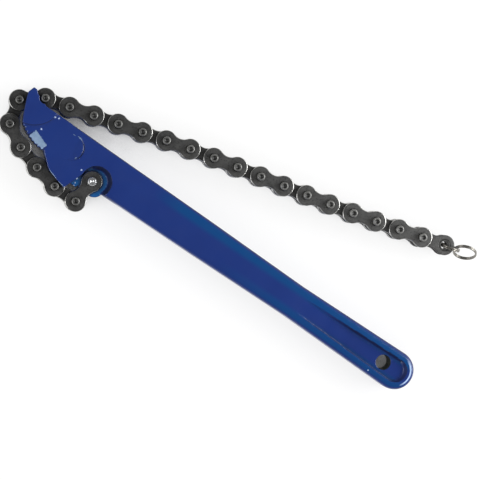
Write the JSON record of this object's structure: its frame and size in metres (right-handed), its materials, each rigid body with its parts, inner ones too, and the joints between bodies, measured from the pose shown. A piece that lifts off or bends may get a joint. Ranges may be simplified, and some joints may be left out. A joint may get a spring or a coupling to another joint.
{
  "type": "chain pipe wrench",
  "caption": "Chain pipe wrench: forged handle with a forked toothed head, and a bush chain anchored in the head, wrapped round the jaw and hooked on the horn, ending in split rings.",
  "frame": {"origin": "on the hang hole's axis, at half the handle's thickness", "axes": "+X along the handle away from the jaw, +Y to the side of the chain's free end, +Z through the thickness"},
  "size_m": [0.3103, 0.125, 0.0214],
  "materials": {
    "blue_enamel": "dipped blue enamel on a forging",
    "plate_steel": "oiled heat-treated steel plate",
    "pin_steel": "oiled turned steel",
    "bright_steel": "bright turned steel",
    "nickel_wire": "nickel plated spring wire"
  },
  "bodies": {
    "handle": {"handle": "blue_enamel"},
    "link_01": {"link_01_plates": "plate_steel", "link_01_pins": "pin_steel", "anchor_pin": "bright_steel"},
    "link_02": {"link_02_plates": "plate_steel", "link_02_bushes": "pin_steel"},
    "link_03": {"link_03_plates": "plate_steel", "link_03_pins": "pin_steel"},
    "link_04": {"link_04_plates": "plate_steel", "link_04_bushes": "pin_steel"},
    "link_05": {"link_05_plates": "plate_steel", "link_05_pins": "pin_steel"},
    "link_06": {"link_06_plates": "plate_steel", "link_06_bushes": "pin_steel"},
    "link_07": {"link_07_plates": "plate_steel", "link_07_pins": "pin_steel"},
    "link_08": {"link_08_plates": "plate_steel", "link_08_bushes": "pin_steel"},
    "link_09": {"link_09_plates": "plate_steel", "link_09_pins": "pin_steel"},
    "link_10": {"link_10_plates": "plate_steel", "link_10_bushes": "pin_steel"},
    "link_11": {"link_11_plates": "plate_steel", "link_11_pins": "pin_steel"},
    "link_12": {"link_12_plates": "plate_steel", "link_12_bushes": "pin_steel"},
    "link_13": {"link_13_plates": "plate_steel", "link_13_pins": "pin_steel"},
    "link_14": {"link_14_plates": "plate_steel", "link_14_bushes": "pin_steel"},
    "link_15": {"link_15_plates": "plate_steel", "link_15_pins": "pin_steel"},
    "link_16": {"link_16_plates": "plate_steel", "link_16_bushes": "pin_steel"},
    "link_17": {"link_17_plates": "plate_steel", "link_17_pins": "pin_steel"},
    "link_18": {"link_18_plates": "plate_steel", "link_18_bushes": "pin_steel"},
    "link_19": {"link_19_plates": "plate_steel", "link_19_pins": "pin_steel"},
    "link_20": {"link_20_plates": "plate_steel", "link_20_bushes": "pin_steel"},
    "link_21": {"link_21_plates": "plate_steel", "link_21_pins": "pin_steel"},
    "link_22": {"link_22_plates": "plate_steel", "link_22_bushes": "pin_steel"},
    "link_23": {"link_23_plates": "plate_steel", "link_23_pins": "pin_steel"},
    "link_24": {"link_24_plates": "plate_steel", "link_24_bushes": "pin_steel"},
    "ring_1": {"ring_1": "nickel_wire"},
    "ring_2": {"ring_2": "nickel_wire"}
  },
  "joints": [
    {"name": "anchor_pivot", "type": "hinge", "parent": "handle", "child": "link_01", "pos_m": [-0.2174, -0.0094, 0], "axis": [0, 0, 1], "range_deg": [-13.5, 0]},
    {"name": "pivot_02", "type": "hinge", "parent": "link_01", "child": "link_02", "pos_m": [-0.21895, -0.0252, 0], "axis": [0, 0, 1], "range_deg": [0, 16.5]},
    {"name": "pivot_03", "type": "hinge", "parent": "link_02", "child": "link_03", "pos_m": [-0.23482, -0.02476, 0], "axis": [0, 0, 1], "range_deg": [0, 10.5]},
    {"name": "pivot_04", "type": "hinge", "parent": "link_03", "child": "link_04", "pos_m": [-0.25029, -0.02121, 0], "axis": [0, 0, 1], "range_deg": [-24, 0]},
    {"name": "pivot_05", "type": "hinge", "parent": "link_04", "child": "link_05", "pos_m": [-0.26549, -0.01662, 0], "axis": [0, 0, 1], "range_deg": [0, 11]},
    {"name": "pivot_06", "type": "hinge", "parent": "link_05", "child": "link_06", "pos_m": [-0.27905, -0.00838, 0], "axis": [0, 0, 1], "range_deg": [-14, 0]},
    {"name": "hook_pivot", "type": "hinge", "parent": "link_06", "child": "link_07", "pos_m": [-0.28246, 0.00713, 0], "axis": [0, 0, 1], "range_deg": [0, 100]},
    {"name": "pivot_08", "type": "hinge", "parent": "link_07", "child": "link_08", "pos_m": [-0.26997, 0.01692, 0], "axis": [0, 0, -1], "range_deg": [-50, 0]},
    {"name": "pivot_09", "type": "hinge", "parent": "link_08", "child": "link_09", "pos_m": [-0.25459, 0.02087, 0], "axis": [0, 0, 1], "range_deg": [-12, 50]},
    {"name": "pivot_10", "type": "hinge", "parent": "link_09", "child": "link_10", "pos_m": [-0.23927, 0.02501, 0], "axis": [0, 0, -1], "range_deg": [-50, 12]},
    {"name": "pivot_11", "type": "hinge", "parent": "link_10", "child": "link_11", "pos_m": [-0.22398, 0.0293, 0], "axis": [0, 0, 1], "range_deg": [-12, 50]},
    {"name": "pivot_12", "type": "hinge", "parent": "link_11", "child": "link_12", "pos_m": [-0.20871, 0.03362, 0], "axis": [0, 0, -1], "range_deg": [-50, 12]},
    {"name": "pivot_13", "type": "hinge", "parent": "link_12", "child": "link_13", "pos_m": [-0.19341, 0.03786, 0], "axis": [0, 0, 1], "range_deg": [-18, 50]},
    {"name": "pivot_14", "type": "hinge", "parent": "link_13", "child": "link_14", "pos_m": [-0.17807, 0.04194, 0], "axis": [0, 0, -1], "range_deg": [-50, 18]},
    {"name": "pivot_15", "type": "hinge", "parent": "link_14", "child": "link_15", "pos_m": [-0.16267, 0.04579, 0], "axis": [0, 0, 1], "range_deg": [-18, 50]},
    {"name": "pivot_16", "type": "hinge", "parent": "link_15", "child": "link_16", "pos_m": [-0.14721, 0.04942, 0], "axis": [0, 0, -1], "range_deg": [-50, 18]},
    {"name": "pivot_17", "type": "hinge", "parent": "link_16", "child": "link_17", "pos_m": [-0.13172, 0.05289, 0], "axis": [0, 0, 1], "range_deg": [-25, 50]},
    {"name": "pivot_18", "type": "hinge", "parent": "link_17", "child": "link_18", "pos_m": [-0.11622, 0.0563, 0], "axis": [0, 0, -1], "range_deg": [-50, 25]},
    {"name": "pivot_19", "type": "hinge", "parent": "link_18", "child": "link_19", "pos_m": [-0.10072, 0.05976, 0], "axis": [0, 0, 1], "range_deg": [-25, 50]},
    {"name": "pivot_20", "type": "hinge", "parent": "link_19", "child": "link_20", "pos_m": [-0.08526, 0.06337, 0], "axis": [0, 0, -1], "range_deg": [-50, 35]},
    {"name": "pivot_21", "type": "hinge", "parent": "link_20", "child": "link_21", "pos_m": [-0.06986, 0.0672, 0], "axis": [0, 0, 1], "range_deg": [-35, 50]},
    {"name": "pivot_22", "type": "hinge", "parent": "link_21", "child": "link_22", "pos_m": [-0.05451, 0.07125, 0], "axis": [0, 0, -1], "range_deg": [-50, 35]},
    {"name": "pivot_23", "type": "hinge", "parent": "link_22", "child": "link_23", "pos_m": [-0.03921, 0.07548, 0], "axis": [0, 0, 1], "range_deg": [-35, 50]},
    {"name": "pivot_24", "type": "hinge", "parent": "link_23", "child": "link_24", "pos_m": [-0.02393, 0.0798, 0], "axis": [0, 0, -1], "range_deg": [-50, 35]},
    {"name": "ring_1_swing", "type": "hinge", "parent": "link_24", "child": "ring_1", "pos_m": [-0.00865, 0.08409, 0], "axis": [0, 0, 1], "range_deg": [-40, 40]},
    {"name": "ring_2_swing", "type": "hinge", "parent": "ring_1", "child": "ring_2", "pos_m": [0.00209, 0.08711, 0], "axis": [0.0423, -0.1506, 0.9877], "range_deg": [-25, 25]}
  ],
  "couplings": [
    {"joint": "anchor_pivot", "follows": "hook_pivot", "ratio": -0.135},
    {"joint": "pivot_02", "follows": "hook_pivot", "ratio": 0.165},
    {"joint": "pivot_03", "follows": "hook_pivot", "ratio": 0.105},
    {"joint": "pivot_04", "follows": "hook_pivot", "ratio": -0.24},
    {"joint": "pivot_05", "follows": "hook_pivot", "ratio": 0.11},
    {"joint": "pivot_06", "follows": "hook_pivot", "ratio": -0.14}
  ]
}
